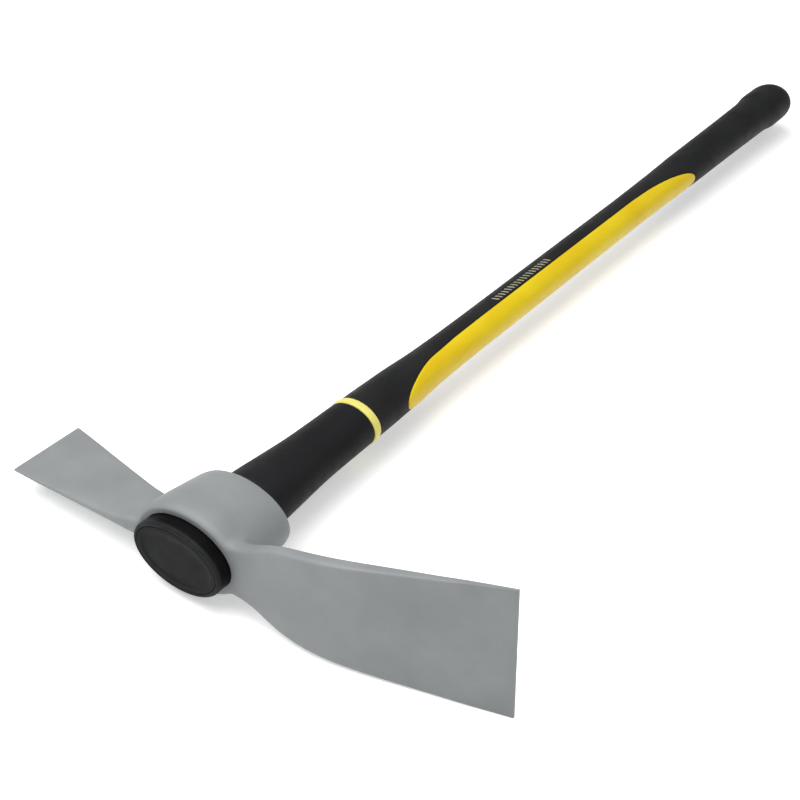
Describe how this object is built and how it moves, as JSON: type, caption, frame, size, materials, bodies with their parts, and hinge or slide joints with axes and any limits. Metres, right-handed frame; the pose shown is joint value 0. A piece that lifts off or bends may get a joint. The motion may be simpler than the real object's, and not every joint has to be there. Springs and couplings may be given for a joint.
{
  "type": "cutter mattock",
  "caption": "Grub hoe of the cutter mattock kind: forged head with an adze and an axe blade on a long moulded two-tone handle that the head drops on to.",
  "frame": {"origin": "middle of the handle's swelled end face, where it stands out of the eye", "axes": "+Y along the handle towards the knob, +X towards the adze's cutting edge, +Z along the adze's edge, up as the tool lies"},
  "size_m": [0.3872, 0.9144, 0.1056],
  "materials": {
    "head_paint": "satin silver-grey coat",
    "swell_plastic": "moulded black",
    "plug_plastic": "moulded dark grey",
    "fibreglass": "pultruded rod",
    "yellow_plastic": "semi-gloss moulded",
    "sleeve_rubber": "fine matt grain",
    "grip_rubber": "fine matt grain"
  },
  "bodies": {
    "handle": {"eye_swell": "swell_plastic", "swell_plug": "plug_plastic", "fibreglass_core": "fibreglass", "handle_jacket": "yellow_plastic", "lower_sleeve": "sleeve_rubber", "grip_overmould": "grip_rubber"},
    "head": {"mattock_head": "head_paint"}
  },
  "joints": [
    {"name": "head_slide", "type": "slide", "parent": "handle", "child": "head", "axis": [0, 1, 0], "range_m": [0, 0.905]}
  ]
}
